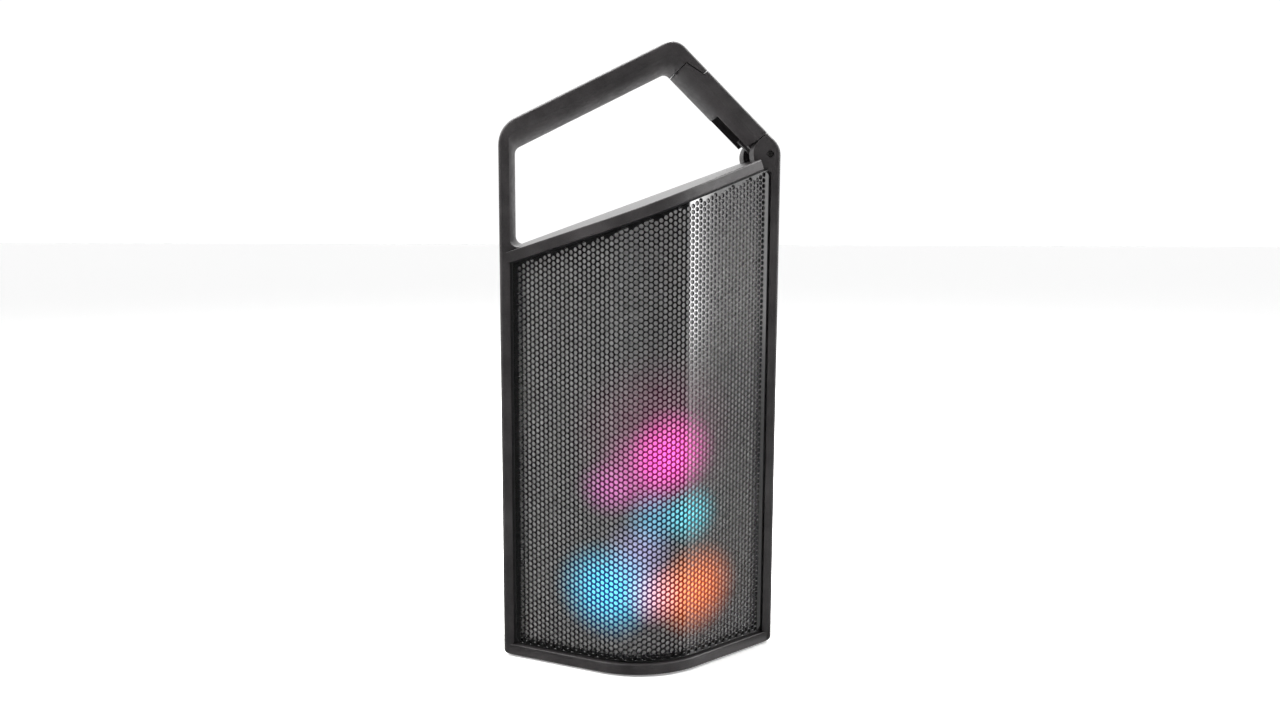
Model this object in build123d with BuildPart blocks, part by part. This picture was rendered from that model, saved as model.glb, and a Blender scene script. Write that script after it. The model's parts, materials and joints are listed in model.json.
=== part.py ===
from build123d import *
import os
from math import cos, hypot, radians, sin, tan

# Portable party speaker: a slim V-fronted box in a carrying frame whose top is a carabiner-like
# handle with a spring gate.  Millimetres, +Z up, front towards -Y, origin under the middle of the base.

# ---------------------------------------------------------------- driving dimensions
half_width = 64.0            # carrying frame, outer half width
frame_front = 1.5            # front plane of the frame (Y)
frame_back = 29.5            # back plane of the frame (Y)
foot_height = 0.8
left_shoulder = 242.9        # height of the upper left corner
right_shoulder = 236.0       # height of the upper right corner
apex = (14.95, 283.0)        # corner of the handle (X, Z)
post_thick = 7.5             # left post, beside the handle opening
grip_thick = 11.3            # sloping grip bar
gate_thick = 11.5            # spring gate
edge_round = 1.3             # rounding of the frame's outer edges
bar_bulge = 8.5              # how far the inner side of grip and gate bulges inwards
post_bulge = 4.0
bar_overrun = 0.6            # the bulge runs this far past the frame's faces
inner_round = 3.5            # inner corners of the handle

strip = 4.5                  # frame strip beside the grille
bar = 5.0                    # bottom bar, and thickness of the sloping deck
rim_round = 0.6
nose_y = -29.5               # foremost point of the V front
nose_radius = 42.2
flank_angle = 32.0           # slope of the V front's flanks, degrees

deck_slope = 0.369           # rise of the deck per mm towards +X
deck_tilt = 0.0314           # rise of the deck per mm towards the back
deck_height = 210.2          # deck height at X = 0, at the front plane of the frame

pin_along = 66.7             # hinge pin, measured along the gate from the apex
pin_inward = 5.9             # and inwards from the gate's outer face
pin_radius = 1.25
boss_radius = 8.0            # ears round the hinge pin
ear_depth = 8.0              # each ear's length along the pin
knuckle_radius = 5.0
knuckle_spans = [(9.8, 12.6), (18.4, 21.2)]
pocket_span = (7.5, 23.5)    # depths of the gate's pocket for the spring leg
leg_span = (17.0, 17.9)
spring_inner = 1.6
spring_outer = 3.2
sweep_radius = 14.0          # room that the gate's lower end sweeps
parting_gap = 0.35

grille_inset = 1.6           # grille face behind the rim of the V front
grille_thick = 0.8
gasket_inset = 2.6
gasket_thick = 2.0
gasket_lap = 2.2             # how far the gasket reaches in behind the grille's edge, top and bottom
gasket_half = 57.0
diffuser_inset = 4.9
diffuser_thick = 1.2

panel_back = 28.2            # outer face of the rear panel
panel_thick = 2.4
box_front = 5.0              # front face of the baffle
wall = 1.8                   # speaker box wall

driver_x = 28.0              # the two drivers stand side by side
driver_z = 146.0
driver_radius = 24.0

button_z = 168.0             # row of round keys on the rear panel
button_pitch = 15.0
button_radius = 4.6
button_travel = 0.6
port_z = 98.0                # socket bay under the keys

# ---------------------------------------------------------------- derived places
frame_depth = frame_back - frame_front
frame_middle = (frame_front + frame_back) / 2
base_z = foot_height
window_x = half_width - strip
window_bottom = base_z + bar
gate_dx = half_width - apex[0]
gate_dz = right_shoulder - apex[1]
gate_length = hypot(gate_dx, gate_dz)
gate_dir = Vector(gate_dx / gate_length, 0, gate_dz / gate_length)
gate_in = Vector(gate_dir.Z, 0, -gate_dir.X)
grip_dx = apex[0] + half_width
grip_dz = apex[1] - left_shoulder
grip_length = hypot(grip_dx, grip_dz)
grip_dir = Vector(grip_dx / grip_length, 0, grip_dz / grip_length)
grip_in = Vector(grip_dir.Z, 0, -grip_dir.X)
apex_point = Vector(apex[0], 0, apex[1])
pin_point = apex_point + gate_dir * pin_along + gate_in * pin_inward
deck_normal = Vector(-deck_slope, -deck_tilt, 1).normalized()
deck_point = Vector(0, frame_front, deck_height)
far = 400.0


def at_y(y):
    """Sketch plane parallel to the front, with X to the right and Z up, at depth y."""
    return Plane.XZ.offset(-y)


def deck_plane(drop=0.0):
    """The sloping deck surface, or a plane that lies drop mm below it, measured straight down."""
    return Plane(origin=deck_point - Vector(0, 0, drop), z_dir=deck_normal)


def gate_point(along, inward):
    """(X, Z) of a point given along the gate from the apex and inwards from its outer face."""
    point = apex_point + gate_dir * along + gate_in * inward
    return (point.X, point.Z)


def front_outline(inset, stop, back):
    """V front in plan, inset from the rim: flanks up to Y = stop, then straight back to Y = back."""
    slope = tan(radians(flank_angle))
    radius = nose_radius - inset
    tangent_x = radius * sin(radians(flank_angle))
    tangent_y = nose_y + inset + radius * (1 - cos(radians(flank_angle)))
    end_x = tangent_x + (stop - tangent_y) / slope
    with BuildSketch() as plan:
        with BuildLine():
            nose = ThreePointArc(
                (-tangent_x, tangent_y), (0, nose_y + inset), (tangent_x, tangent_y)
            )
            Polyline(nose @ 1, (end_x, stop), (end_x, back), (-end_x, back), (-end_x, stop), nose @ 0)
        make_face()
    return plan.sketch


def front_shell(inset, thick, back):
    """Upright V shell of the front: its face inset from the rim, cut off at Y = back."""
    with BuildPart() as shell:
        with BuildSketch(Plane.XY):
            add(front_outline(inset, back, back + 0.01))
            add(front_outline(inset + thick, back, back + thick), mode=Mode.SUBTRACT)
        extrude(amount=far)
    return shell.part


def under_deck(half, low, drop, front, back):
    """Block under the deck: |X| < half, from Z = low up to drop mm under the deck surface."""
    with BuildPart() as block:
        with BuildSketch(Plane.XY.offset(low)):
            with Locations((0, (front + back) / 2)):
                Rectangle(2 * half, back - front)
        extrude(amount=far)
        split(bisect_by=deck_plane(drop), keep=Keep.BOTTOM)
    return block.part


def outline_block():
    """The frame's outer silhouette through its whole depth, edges rounded front and back."""
    with BuildPart() as block:
        with BuildSketch(at_y(frame_back)):
            with BuildLine():
                FilletPolyline(
                    (-half_width, base_z),
                    (-half_width, left_shoulder),
                    apex,
                    (half_width, right_shoulder),
                    (half_width, base_z),
                    radius=[2.5, 13.5, 8.0, 9.0, 2.5],
                    close=True,
                )
            make_face()
        extrude(amount=frame_depth)
        fillet(block.faces().sort_by(Axis.Y)[0].edges(), edge_round)
        fillet(block.faces().sort_by(Axis.Y)[-1].edges(), edge_round)
    return block.part


def beside_bar(origin, along, inward, thick, bulge):
    """The space beside a bar of D section: flat outside, inner side a half ellipse bulge deep."""
    half_depth = frame_depth / 2 + bar_overrun
    centre = Vector(origin.X, frame_middle, origin.Z)
    start = thick - bulge
    with BuildPart() as space:
        with BuildSketch(Plane(centre, x_dir=inward, z_dir=along)):
            with BuildLine():
                side = EllipticalCenterArc((start, 0), bulge, half_depth, -90, arc_size=180)
                Polyline(side @ 1, (far, half_depth), (far, -half_depth), side @ 0)
            make_face()
        extrude(amount=far, both=True)
    return space.part


def pin_cylinder(radius, y0, y1):
    """Cylinder about the gate's hinge axis between two depths."""
    with BuildPart() as cylinder:
        with BuildSketch(at_y(y1)):
            with Locations((pin_point.X, pin_point.Z)):
                Circle(radius)
        extrude(amount=y1 - y0)
    return cylinder.part


def gate_prism(corners, y0, y1):
    """Prism between two depths, its corners given along and inwards from the gate's outer face."""
    with BuildPart() as prism:
        with BuildSketch(at_y(y1)):
            with BuildLine():
                Polyline(*[gate_point(*corner) for corner in corners], close=True)
            make_face()
        extrude(amount=y1 - y0)
    return prism.part


def handle_window():
    """The opening under the handle, narrowed by the bulging inner sides of its three bars."""
    left = Vector(-half_width, 0, left_shoulder)
    with BuildPart() as window:
        add(beside_bar(left, Vector(0, 0, 1), Vector(1, 0, 0), post_thick, post_bulge))
        add(beside_bar(apex_point, grip_dir, grip_in, grip_thick, bar_bulge), mode=Mode.INTERSECT)
        add(beside_bar(apex_point, gate_dir, gate_in, gate_thick, bar_bulge), mode=Mode.INTERSECT)
        split(bisect_by=deck_plane(), keep=Keep.TOP)
        curved = window.edges().filter_by(GeomType.BSPLINE).sort_by(Axis.X)
        fillet(curved[:3], inner_round)
    return window.part


def v_plate(low, high):
    """Plate with the V front's plan: level between two heights, or under the deck if high is None."""
    with BuildPart() as plate:
        with BuildSketch(Plane.XY.offset(low)):
            add(front_outline(0, frame_front, frame_front + 6))
        extrude(amount=far if high is None else high - low)
        if high is None:
            split(bisect_by=deck_plane(), keep=Keep.BOTTOM)
            split(bisect_by=deck_plane(bar), keep=Keep.TOP)
        rims = plate.edges().filter_by(lambda e: e.center().Y < frame_front - 0.1)
        fillet(rims.filter_by(lambda e: abs(e.tangent_at(0.5).Z) < 0.9), rim_round)
    return plate.part


os.makedirs("parts", exist_ok=True)

# ---------------------------------------------------------------- handle ring shared by frame and gate
window_space = handle_window()

with BuildPart() as ring:
    add(outline_block())
    add(window_space, mode=Mode.SUBTRACT)

# The gate leaves the frame under a lip at the top and at a slanted line above the hinge.
lip_end = 20.0
lip_step = 10.8
lower_out = 59.4
lower_in = 57.2
past = 16.0                  # beyond the gate's inner side
gate_slot = [
    (lip_end, -5),
    (lip_end, 2.4),
    (lip_step, 4.4),
    (lip_step, past),
    (lower_in, past),
    (lower_in, gate_thick),
    (lower_out, 0),
    (lower_out, -5),
]
gate_blank = [
    (lip_end + parting_gap, -5),
    (lip_end + parting_gap, 2.4 + parting_gap),
    (lip_step + parting_gap, 4.4 + parting_gap),
    (lip_step + parting_gap, past),
    (lower_in - parting_gap, past),
    (lower_in - parting_gap, gate_thick),
    (lower_out - parting_gap, 0),
    (lower_out - parting_gap, -5),
]

# ---------------------------------------------------------------- carrying frame
ear_back = frame_front + ear_depth
rear_ear_front = frame_back - ear_depth
through = (0, frame_back + frame_front)
ear_clearing = [(52.5, 231.5), (56.1, 222.5), (70, 222.5), (70, 250), (52.5, 250)]
knuckle_way = [
    (50, -5),
    (50, pin_inward + 3.6),
    (pin_along, pin_inward + 3.6),
    (pin_along + 5.6, pin_inward),
    (pin_along + 5.6, -5),
]

with BuildPart() as hinge_boss:
    add(pin_cylinder(boss_radius, frame_front, frame_back))
    add(outline_block(), mode=Mode.INTERSECT)

with BuildPart() as gate_sweep:
    add(pin_cylinder(sweep_radius, frame_front - 2, frame_back + 2))
    add(pin_cylinder(boss_radius, frame_front - 2, frame_back + 2), mode=Mode.SUBTRACT)
    sweep_side = [(40, pin_inward), (90, pin_inward), (90, 40), (40, 40)]
    add(gate_prism(sweep_side, *through), mode=Mode.INTERSECT)
    split(bisect_by=deck_plane(), keep=Keep.TOP)

with BuildPart() as knuckle_sweep:
    add(pin_cylinder(sweep_radius, ear_back, rear_ear_front))
    split(bisect_by=deck_plane(), keep=Keep.TOP)

with BuildPart() as carry_frame:
    add(ring.part)
    add(gate_prism(gate_slot, *through), mode=Mode.SUBTRACT)
    add(gate_sweep.part, mode=Mode.SUBTRACT)
    add(under_deck(window_x, window_bottom, bar, *through), mode=Mode.SUBTRACT)
    add(hinge_boss.part)
    add(v_plate(base_z, base_z + bar))
    add(v_plate(base_z, None))
    # the deck's rim stops beside the front ear, which is flush with the post
    with BuildSketch(at_y(frame_front)):
        with BuildLine():
            Polyline(*ear_clearing, close=True)
        make_face()
    extrude(amount=frame_depth, mode=Mode.SUBTRACT)
    # gap between the ears for the gate's knuckles, and the pin's bore
    add(knuckle_sweep.part, mode=Mode.SUBTRACT)
    add(pin_cylinder(knuckle_radius + 0.6, ear_back, rear_ear_front), mode=Mode.SUBTRACT)
    add(gate_prism(knuckle_way, ear_back, rear_ear_front), mode=Mode.SUBTRACT)
    add(pin_cylinder(pin_radius, frame_front - 1, frame_back - 2), mode=Mode.SUBTRACT)
    add(pin_cylinder(pin_radius + 0.35, frame_front - 1, frame_front + 1.2), mode=Mode.SUBTRACT)
carry_frame.part.label = "carry_frame"
export_step(carry_frame.part, "parts/carry_frame.step")

# ---------------------------------------------------------------- gate
pocket = [(38, 3), (70, 3), (70, 20), (38, 20)]
knuckle_arm = [
    (54, 0.8),
    (pin_along, pin_inward - knuckle_radius),
    (pin_along, pin_inward + 3),
    (54, pin_inward + 3),
]
spring_leg = [(44, 3.3), (pin_along - 1, 3.3), (pin_along - 1, 4.2), (44, 4.2)]

with BuildPart() as gate:
    add(ring.part)
    add(gate_prism(gate_blank, *through), mode=Mode.INTERSECT)
    # pocket for the spring leg, open to the inner side
    add(gate_prism(pocket, *pocket_span), mode=Mode.SUBTRACT)
    for y0, y1 in knuckle_spans:
        add(pin_cylinder(knuckle_radius, y0, y1))
        add(gate_prism(knuckle_arm, y0, y1))
    add(pin_cylinder(pin_radius + 0.05, *through), mode=Mode.SUBTRACT)
gate.part.label = "gate"
export_step(gate.part, "parts/gate.step")

with BuildPart() as hinge_pin:
    add(pin_cylinder(pin_radius, frame_front + 0.9, frame_back - 2))
hinge_pin.part.label = "hinge_pin"
export_step(hinge_pin.part, "parts/hinge_pin.step")

# ---------------------------------------------------------------- torsion spring of the gate
with BuildPart() as gate_spring:
    add(pin_cylinder(spring_outer, 13.1, leg_span[1]))
    add(pin_cylinder(spring_inner, 13.0, 18.0), mode=Mode.SUBTRACT)
    add(gate_prism(spring_leg, *leg_span))
gate_spring.part.label = "gate_spring"
export_step(gate_spring.part, "parts/gate_spring.step")

# ---------------------------------------------------------------- grille, gasket, diffuser
with BuildPart() as front_grille:
    add(front_shell(grille_inset, grille_thick, frame_front - 0.2))
    add(under_deck(58.2, window_bottom + 1, bar + 1, nose_y - 1, frame_front + 3), mode=Mode.INTERSECT)
front_grille.part.label = "front_grille"
export_step(front_grille.part, "parts/front_grille.step")

with BuildPart() as grille_gasket:
    add(front_shell(gasket_inset, gasket_thick, 3.4))
    add(under_deck(window_x, window_bottom, bar, nose_y - 1, 5), mode=Mode.INTERSECT)
    add(
        under_deck(gasket_half, window_bottom + gasket_lap, bar + gasket_lap, nose_y - 1, 5),
        mode=Mode.SUBTRACT,
    )
    add(pin_cylinder(boss_radius + 0.1, 0, 30), mode=Mode.SUBTRACT)
grille_gasket.part.label = "grille_gasket"
export_step(grille_gasket.part, "parts/grille_gasket.step")

with BuildPart() as light_diffuser:
    add(front_shell(diffuser_inset, diffuser_thick, box_front - 0.3))
    add(under_deck(57.6, window_bottom + 0.5, bar + 0.5, nose_y - 1, box_front), mode=Mode.INTERSECT)
    add(pin_cylinder(boss_radius + 0.1, 0, 30), mode=Mode.SUBTRACT)
light_diffuser.part.label = "light_diffuser"
export_step(light_diffuser.part, "parts/light_diffuser.step")

# ---------------------------------------------------------------- speaker box
box_half = window_x - 0.9
box_back = panel_back - panel_thick - 0.3
box_low = window_bottom + 1.2
box_drop = bar + 1.2
screw_places = [(-51.0, 14.0), (51.0, 14.0), (-52.0, 118.0), (52.0, 118.0), (-51.5, 182.0), (50.0, 212.0)]

with BuildPart() as box_cavity:
    add(under_deck(box_half - wall, box_low + wall, box_drop + wall, box_front + wall, 40))
    add(pin_cylinder(boss_radius + 0.8 + wall, 0, 41), mode=Mode.SUBTRACT)
    with BuildSketch(at_y(41)):
        with Locations(*screw_places):
            Circle(3.4)
    extrude(amount=41, mode=Mode.SUBTRACT)

with BuildPart() as speaker_box:
    add(under_deck(box_half, box_low, box_drop, box_front, box_back))
    add(pin_cylinder(boss_radius + 0.8, 0, 41), mode=Mode.SUBTRACT)
    add(box_cavity.part, mode=Mode.SUBTRACT)
    with BuildSketch(at_y(box_front + wall + 1)):
        with Locations((-driver_x, driver_z), (driver_x, driver_z)):
            Circle(driver_radius - 3.2)
    extrude(amount=wall + 2, mode=Mode.SUBTRACT)
    with BuildSketch(at_y(box_back + 1)):
        with Locations(*screw_places):
            Circle(1.3)
    extrude(amount=12, mode=Mode.SUBTRACT)
speaker_box.part.label = "speaker_box"
export_step(speaker_box.part, "parts/speaker_box.step")


# ---------------------------------------------------------------- drivers
def turned(centre_x, centre_z, profile):
    """Solid of revolution about a front-to-back axis; the profile is (radius, depth) corners."""
    plane = Plane((centre_x, 0, centre_z), x_dir=(1, 0, 0), z_dir=(0, 0, 1))
    with BuildPart() as solid:
        with BuildSketch(plane):
            with BuildLine():
                Polyline(*profile, close=True)
            make_face()
        revolve(axis=Axis((centre_x, 0, centre_z), (0, 1, 0)))
    return solid.part


flange_front = box_front - 1.6
for side, name in ((-1, "left"), (1, "right")):
    x = side * driver_x
    with BuildPart() as basket:
        add(
            turned(x, driver_z, [
                (18.7, flange_front), (driver_radius, flange_front), (driver_radius, box_front),
                (20.4, box_front), (20.4, 6.5), (12.5, 16.0), (12.5, 17.2), (6.5, 17.2), (6.5, 15.8),
                (11.2, 15.8), (18.7, 6.2),
            ])
        )
    basket.part.label = f"{name}_driver_basket"
    export_step(basket.part, f"parts/{name}_driver_basket.step")

    with BuildPart() as surround:
        plane = Plane((x, 0, driver_z), x_dir=(1, 0, 0), z_dir=(0, 0, 1))
        with BuildSketch(plane):
            with Locations((17.0, flange_front + 1.2)):
                Circle(1.6)
                Circle(1.0, mode=Mode.SUBTRACT)
            with Locations((17.0, flange_front + 3.2)):
                Rectangle(4, 4, mode=Mode.SUBTRACT)
        revolve(axis=Axis((x, 0, driver_z), (0, 1, 0)))
    surround.part.label = f"{name}_driver_surround"
    export_step(surround.part, f"parts/{name}_driver_surround.step")

    with BuildPart() as cone:
        add(
            turned(x, driver_z, [
                (15.2, flange_front + 0.8), (15.2, flange_front + 1.4), (6.2, 9.4), (5.4, 9.4), (5.4, 14.0),
                (4.8, 14.0), (4.8, 8.2), (3.4, 7.4), (0, 7.0), (0, 6.4), (3.6, 6.8), (5.6, 8.0),
            ])
        )
    cone.part.label = f"{name}_driver_cone"
    export_step(cone.part, f"parts/{name}_driver_cone.step")

    with BuildPart() as magnet:
        add(turned(x, driver_z, [(0, 17.2), (13.0, 17.2), (13.0, 24.4), (12.4, 25.0), (0, 25.0)]))
        add(turned(x, driver_z, [(0, 12.0), (4.4, 12.0), (4.4, 17.3), (0, 17.3)]))
    magnet.part.label = f"{name}_driver_magnet"
    export_step(magnet.part, f"parts/{name}_driver_magnet.step")

# ---------------------------------------------------------------- light board
board_thick = 1.6
led_places = [
    (9.5, 99.0),
    (-18.0, 83.5),
    (19.5, 70.5),
    (-4.0, 52.0),
    (-17.5, 37.5),
    (3.0, 33.5),
    (22.5, 35.0),
]
led_height = 1.4
with BuildPart() as led_board:
    with BuildSketch(at_y(box_front)):
        with Locations((0, 61)):
            RectangleRounded(72, 96, 3)
        with Locations((-32, 17), (32, 17), (-32, 105), (32, 105)):
            Circle(1.6, mode=Mode.SUBTRACT)
    extrude(amount=board_thick)
led_board.part.label = "led_board"
export_step(led_board.part, "parts/led_board.step")

with BuildPart() as leds:
    with BuildSketch(at_y(box_front - board_thick)):
        with Locations(*led_places):
            RectangleRounded(5, 5, 0.6)
    extrude(amount=led_height)
    # small dome of resin, drawn as a disc that stands proud
    with BuildSketch(at_y(box_front - board_thick - led_height)):
        with Locations(*led_places):
            Circle(1.9)
    extrude(amount=0.5)
leds.part.label = "leds"
export_step(leds.part, "parts/leds.step")

# ---------------------------------------------------------------- battery
cell_radius = 9.0
cell_heights = [22.0, 42.0]
cell_length = 65.0
cell_y = 16.1
for height, name in zip(cell_heights, ("lower", "upper")):
    with BuildPart() as cell:
        with BuildSketch(Plane.YZ.offset(-cell_length / 2)):
            with Locations((cell_y, height)):
                Circle(cell_radius)
        extrude(amount=cell_length)
        fillet(cell.edges().filter_by(GeomType.CIRCLE), 0.8)
        with BuildSketch(Plane.YZ.offset(cell_length / 2)):
            with Locations((cell_y, height)):
                Circle(2.8)
        extrude(amount=1.2)
    cell.part.label = f"{name}_battery_cell"
    export_step(cell.part, f"parts/{name}_battery_cell.step")

holder_back = 23.0
holder_front = 7.4
with BuildPart() as battery_holder:
    with BuildSketch(at_y(holder_back)):
        with Locations((0, 32)):
            RectangleRounded(73.2, 43.6, 2)
            Rectangle(69.6, 40.0, mode=Mode.SUBTRACT)
    extrude(amount=holder_back - holder_front)
battery_holder.part.label = "battery_holder"
export_step(battery_holder.part, "parts/battery_holder.step")

# ---------------------------------------------------------------- main board with its parts
main_back = 13.6             # rear face of the main board
with BuildPart() as main_board:
    with BuildSketch(at_y(main_back)):
        with Locations((0, 86)):
            RectangleRounded(92, 56, 2)
        with Locations((-42, 62), (42, 62), (-42, 110), (42, 110)):
            Circle(1.6, mode=Mode.SUBTRACT)
    extrude(amount=board_thick)
main_board.part.label = "main_board"
export_step(main_board.part, "parts/main_board.step")

with BuildPart() as board_parts:
    with BuildSketch(at_y(main_back + 1.8)):
        with Locations((-30, 84)):
            RectangleRounded(20, 26, 1)
    extrude(amount=1.8)
    with BuildSketch(at_y(main_back + 1.2)):
        with Locations((28, 72), (36, 98)):
            RectangleRounded(8, 8, 0.4)
    extrude(amount=1.2)
    with BuildSketch(at_y(main_back + 8.4)):
        with Locations((24, 92), (24, 104), (-12, 68)):
            Circle(4.0)
    extrude(amount=8.4)
board_parts.part.label = "board_parts"
export_step(board_parts.part, "parts/board_parts.step")

# ---------------------------------------------------------------- rear panel, keys and sockets
panel_front = panel_back - panel_thick
key_names = ["power", "pair", "volume_down", "play", "volume_up", "light"]
key_places = [((i - 2.5) * button_pitch, button_z) for i in range(len(key_names))]
insert_width = 106.0
insert_height = 17.0
insert_depth = 1.2
lens_places = [(47.0, button_z + dz) for dz in (-4.5, -1.5, 1.5, 4.5)]
cover_width = 36.0
cover_height = 13.0
cover_gap = 0.3
anchor_width = 4.0
seat_width = cover_width + 2 * cover_gap + 2 * anchor_width
aux_place = (8.0, port_z)
usb_place = (-6.0, port_z)

with BuildPart() as rear_panel:
    add(under_deck(window_x - 0.25, window_bottom + 0.25, bar + 0.25, panel_front, panel_back))
    add(pin_cylinder(boss_radius + 0.3, 0, 41), mode=Mode.SUBTRACT)
    # seat of the key insert
    with BuildSketch(at_y(panel_back + 1)):
        with Locations((0, button_z)):
            RectangleRounded(insert_width + 0.1, insert_height + 0.1, 6)
    extrude(amount=insert_depth + 1, mode=Mode.SUBTRACT)
    with BuildSketch(at_y(panel_back + 1)):
        with Locations(*key_places):
            Circle(button_radius + 0.3)
        with Locations(*lens_places):
            Circle(0.9)
        with Locations(usb_place):
            RectangleRounded(9.4, 3.6, 1.75)
        with Locations(aux_place):
            Circle(3.3)
        with Locations(*screw_places):
            Circle(1.6)
    extrude(amount=panel_thick + 2, mode=Mode.SUBTRACT)
    # seat of the port cover and its anchor
    with BuildSketch(at_y(panel_back + 1)):
        with Locations((0, port_z)):
            RectangleRounded(seat_width, cover_height + 2 * cover_gap, 0.25)
    extrude(amount=1.8 + 1, mode=Mode.SUBTRACT)
    with BuildSketch(at_y(panel_back + 1)):
        with Locations(*screw_places):
            Circle(3.1)
    extrude(amount=1.3 + 1, mode=Mode.SUBTRACT)
rear_panel.part.label = "rear_panel"
export_step(rear_panel.part, "parts/rear_panel.step")

with BuildPart() as control_panel:
    with BuildSketch(at_y(panel_back)):
        with Locations((0, button_z)):
            RectangleRounded(insert_width, insert_height, 6)
        with Locations(*key_places):
            Circle(button_radius + 0.3, mode=Mode.SUBTRACT)
        with Locations(*lens_places):
            Circle(0.9, mode=Mode.SUBTRACT)
    extrude(amount=insert_depth)
control_panel.part.label = "control_panel"
export_step(control_panel.part, "parts/control_panel.step")

for name, place in zip(key_names, key_places):
    with BuildPart() as button:
        with BuildSketch(at_y(panel_back + 0.9)):
            with Locations(place):
                Circle(button_radius)
        extrude(amount=0.9 + panel_thick + 0.8)
        fillet(button.faces().sort_by(Axis.Y)[-1].edges(), 0.5)
        with BuildSketch(at_y(panel_front - 0.3)):
            with Locations(place):
                Circle(button_radius + 1)
        extrude(amount=0.8)
        with BuildSketch(at_y(panel_front - 1.0)):
            with Locations(place):
                Circle(1.5)
        extrude(amount=0.8)
    button.part.label = f"{name}_button"
    export_step(button.part, f"parts/{name}_button.step")

with BuildPart() as control_board:
    with BuildSketch(at_y(21.6)):
        with Locations((0, button_z + 1)):
            RectangleRounded(104, 14, 1.5)
    extrude(amount=board_thick)
    with BuildSketch(at_y(23.0)):
        with Locations(*key_places):
            RectangleRounded(5.2, 5.2, 0.5)
        with Locations(*lens_places):
            Rectangle(1.6, 1.2)
    extrude(amount=1.6)
control_board.part.label = "control_board"
export_step(control_board.part, "parts/control_board.step")

with BuildPart() as status_lens:
    with BuildSketch(at_y(panel_back)):
        with Locations(*lens_places):
            Circle(0.9)
    extrude(amount=panel_thick + 1.6)
status_lens.part.label = "status_lens"
export_step(status_lens.part, "parts/status_lens.step")

socket_mouth = panel_back - 1.8
with BuildPart() as usb_socket:
    with BuildSketch(at_y(socket_mouth)):
        with Locations(usb_place):
            RectangleRounded(9.2, 3.4, 1.65)
    extrude(amount=socket_mouth - main_back)
    with BuildSketch(at_y(socket_mouth)):
        with Locations(usb_place):
            RectangleRounded(8.5, 2.7, 1.3)
            Rectangle(6.7, 0.7, mode=Mode.SUBTRACT)
    extrude(amount=6.6, mode=Mode.SUBTRACT)
usb_socket.part.label = "usb_socket"
export_step(usb_socket.part, "parts/usb_socket.step")

with BuildPart() as aux_socket:
    with BuildSketch(at_y(socket_mouth)):
        with Locations(aux_place):
            Circle(3.2)
            Circle(1.8, mode=Mode.SUBTRACT)
    extrude(amount=socket_mouth - main_back)
aux_socket.part.label = "aux_socket"
export_step(aux_socket.part, "parts/aux_socket.step")

hinge_x = -cover_width / 2
with BuildPart() as port_cover:
    with BuildSketch(at_y(panel_back)):
        with Locations((0, port_z)):
            Rectangle(cover_width, cover_height)
    extrude(amount=1.5)
    fillet(port_cover.edges().filter_by(Axis.Y).sort_by(Axis.X)[-2:], 2.0)
    with BuildSketch(at_y(panel_back)):
        with Locations((cover_width / 2 + 1.2, port_z)):
            RectangleRounded(4.4, 6.0, 1.5)
    extrude(amount=1.5)
port_cover.part.label = "port_cover"
export_step(port_cover.part, "parts/port_cover.step")

with BuildPart() as cover_anchor:
    with BuildSketch(at_y(panel_back)):
        with Locations((hinge_x - 0.3 - anchor_width / 2, port_z)):
            Rectangle(anchor_width - 0.3, cover_height)
    extrude(amount=1.8)
cover_anchor.part.label = "cover_anchor"
export_step(cover_anchor.part, "parts/cover_anchor.step")

# ---------------------------------------------------------------- screws and feet
with BuildPart() as rear_screws:
    with BuildSketch(at_y(panel_back - 0.3)):
        with Locations(*screw_places):
            Circle(2.8)
    extrude(amount=1.0)
    with BuildSketch(at_y(panel_back - 1.3)):
        with Locations(*screw_places):
            Circle(1.3)
    extrude(amount=10.0)
    with BuildSketch(at_y(panel_back - 0.3)):
        with Locations(*screw_places):
            Rectangle(3.2, 0.7)
            Rectangle(0.7, 3.2)
    extrude(amount=0.7, mode=Mode.SUBTRACT)
rear_screws.part.label = "rear_screws"
export_step(rear_screws.part, "parts/rear_screws.step")

foot_places = {
    "front_left_foot": (-15.0, -17.0),
    "front_right_foot": (15.0, -17.0),
    "rear_left_foot": (-48.0, 21.0),
    "rear_right_foot": (48.0, 21.0),
}
for name, place in foot_places.items():
    with BuildPart() as foot:
        with BuildSketch(Plane.XY):
            with Locations(place):
                SlotOverall(16, 8)
        extrude(amount=foot_height)
        chamfer(foot.faces().sort_by(Axis.Z)[0].edges(), 0.25)
    foot.part.label = name
    export_step(foot.part, f"parts/{name}.step")
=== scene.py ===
"""Looks of the party speaker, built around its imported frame.

Metres, +Z up, the front towards -Y.  Every new piece is a surface worked out with numpy.
"""
import json
import math

import bmesh
import bpy
import numpy as np
from mathutils import Matrix, Vector

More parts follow.
